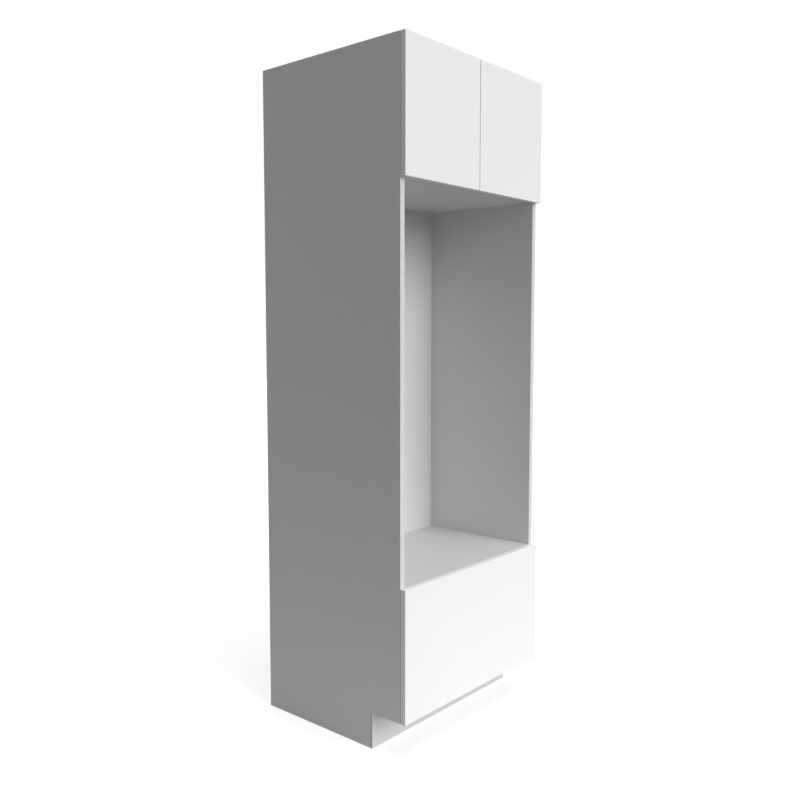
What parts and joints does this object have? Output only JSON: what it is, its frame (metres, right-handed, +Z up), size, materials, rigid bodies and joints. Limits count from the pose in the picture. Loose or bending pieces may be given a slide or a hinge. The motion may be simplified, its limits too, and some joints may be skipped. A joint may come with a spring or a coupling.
{
  "type": "tall oven housing unit",
  "caption": "Tall white kitchen housing for a built-in double oven: open cavity, slab doors on the cupboard above, deep drawer below, recessed toe kick.",
  "frame": {"origin": "centre of the footprint, on the floor", "axes": "+Z up, -Y towards the front with the doors and drawer, +Y towards the wall, +X to the right seen from the front"},
  "size_m": [0.724, 0.6094, 2.134],
  "materials": {
    "white_board": "white melamine-faced particleboard, satin",
    "white_edging": "white edge banding, satin",
    "softwood": "planed softwood, unfinished",
    "beech": "fluted hardwood, unfinished",
    "zinc_diecast": "zinc die-casting",
    "nickel_steel": "nickel-plated pressed steel",
    "zinc_steel": "zinc-plated rolled steel",
    "yellow_steel": "yellow-passivated steel screws",
    "bumper_rubber": "clear soft bumper"
  },
  "bodies": {
    "carcass": {"left_side_panel": "white_board", "right_side_panel": "white_board", "top_panel": "white_board", "cupboard_floor": "white_board", "oven_shelf": "white_board", "bottom_panel": "white_board", "cupboard_back": "white_board", "oven_back": "white_board", "drawer_bay_back": "white_board", "top_nailer": "white_board", "middle_nailer": "white_board", "lower_nailer": "white_board", "toe_kick_rail": "white_board", "rear_toe_rail": "white_board", "toe_kick_board": "white_board", "left_shelf_cleat": "softwood", "right_shelf_cleat": "softwood", "left_back_cleat": "softwood", "right_back_cleat": "softwood", "side_edge_bands": "white_edging", "shelf_edge_bands": "white_edging", "cam_locks": "zinc_diecast", "cam_bolts": "zinc_diecast", "dowels": "beech", "cleat_screws": "yellow_steel", "back_screws": "yellow_steel", "hinge_plates": "nickel_steel", "hinge_plate_screws": "nickel_steel", "hinge_arms": "nickel_steel", "hinge_arm_screws": "nickel_steel", "hinge_arm_pins": "nickel_steel", "slide_cabinet_members": "zinc_steel", "slide_screws": "zinc_steel"},
    "left_door": {"left_door": "white_board", "left_door_edge_band": "white_edging", "left_hinge_cups": "nickel_steel", "left_cup_screws": "nickel_steel", "left_door_bumpers": "bumper_rubber"},
    "left_outer_links": {"left_outer_links": "nickel_steel"},
    "left_inner_links": {"left_inner_links": "nickel_steel"},
    "right_door": {"right_door": "white_board", "right_door_edge_band": "white_edging", "right_hinge_cups": "nickel_steel", "right_cup_screws": "nickel_steel", "right_door_bumpers": "bumper_rubber"},
    "right_outer_links": {"right_outer_links": "nickel_steel"},
    "right_inner_links": {"right_inner_links": "nickel_steel"},
    "drawer": {"drawer_front": "white_board", "drawer_front_edge_band": "white_edging", "drawer_box_front": "white_board", "drawer_box_back": "white_board", "drawer_box_left_side": "white_board", "drawer_box_right_side": "white_board", "drawer_box_bottom": "white_board", "drawer_screws": "yellow_steel", "drawer_bumpers": "bumper_rubber", "slide_drawer_members": "zinc_steel"},
    "slide_middle": {"slide_middle_members": "zinc_steel"},
    "outer_ball_cages": {"slide_outer_ball_cages": "zinc_steel"},
    "inner_ball_cages": {"slide_inner_ball_cages": "zinc_steel"}
  },
  "joints": [
    {"name": "left_door_swing", "type": "hinge", "parent": "carcass", "child": "left_door", "pos_m": [-0.3565, -0.29885, 1.933], "axis": [0, 0, -1], "range_deg": [0, 95]},
    {"name": "left_outer_link_swing", "type": "hinge", "parent": "carcass", "child": "left_outer_links", "pos_m": [-0.329, -0.29545, 1.933], "axis": [0, 0, 1], "range_deg": [0, 33]},
    {"name": "left_inner_link_swing", "type": "hinge", "parent": "carcass", "child": "left_inner_links", "pos_m": [-0.329, -0.28975, 1.933], "axis": [0, 0, 1], "range_deg": [0, 26]},
    {"name": "right_door_swing", "type": "hinge", "parent": "carcass", "child": "right_door", "pos_m": [0.3565, -0.29885, 1.933], "axis": [0, 0, 1], "range_deg": [0, 95]},
    {"name": "right_outer_link_swing", "type": "hinge", "parent": "carcass", "child": "right_outer_links", "pos_m": [0.329, -0.29545, 1.933], "axis": [0, 0, -1], "range_deg": [0, 33]},
    {"name": "right_inner_link_swing", "type": "hinge", "parent": "carcass", "child": "right_inner_links", "pos_m": [0.329, -0.28975, 1.933], "axis": [0, 0, -1], "range_deg": [0, 26]},
    {"name": "drawer_slide", "type": "slide", "parent": "carcass", "child": "drawer", "axis": [0, -1, 0], "range_m": [0, 0.5]},
    {"name": "slide_middle_travel", "type": "slide", "parent": "carcass", "child": "slide_middle", "axis": [0, -1, 0], "range_m": [0, 0.25]},
    {"name": "outer_cage_travel", "type": "slide", "parent": "carcass", "child": "outer_ball_cages", "axis": [0, -1, 0], "range_m": [0, 0.125]},
    {"name": "inner_cage_travel", "type": "slide", "parent": "carcass", "child": "inner_ball_cages", "axis": [0, -1, 0], "range_m": [0, 0.375]}
  ],
  "couplings": [
    {"joint": "left_outer_link_swing", "follows": "left_door_swing", "ratio": 0.345},
    {"joint": "left_inner_link_swing", "follows": "left_door_swing", "ratio": 0.27},
    {"joint": "right_outer_link_swing", "follows": "right_door_swing", "ratio": 0.345},
    {"joint": "right_inner_link_swing", "follows": "right_door_swing", "ratio": 0.27},
    {"joint": "slide_middle_travel", "follows": "drawer_slide", "ratio": 0.5},
    {"joint": "outer_cage_travel", "follows": "drawer_slide", "ratio": 0.25},
    {"joint": "inner_cage_travel", "follows": "drawer_slide", "ratio": 0.75}
  ]
}
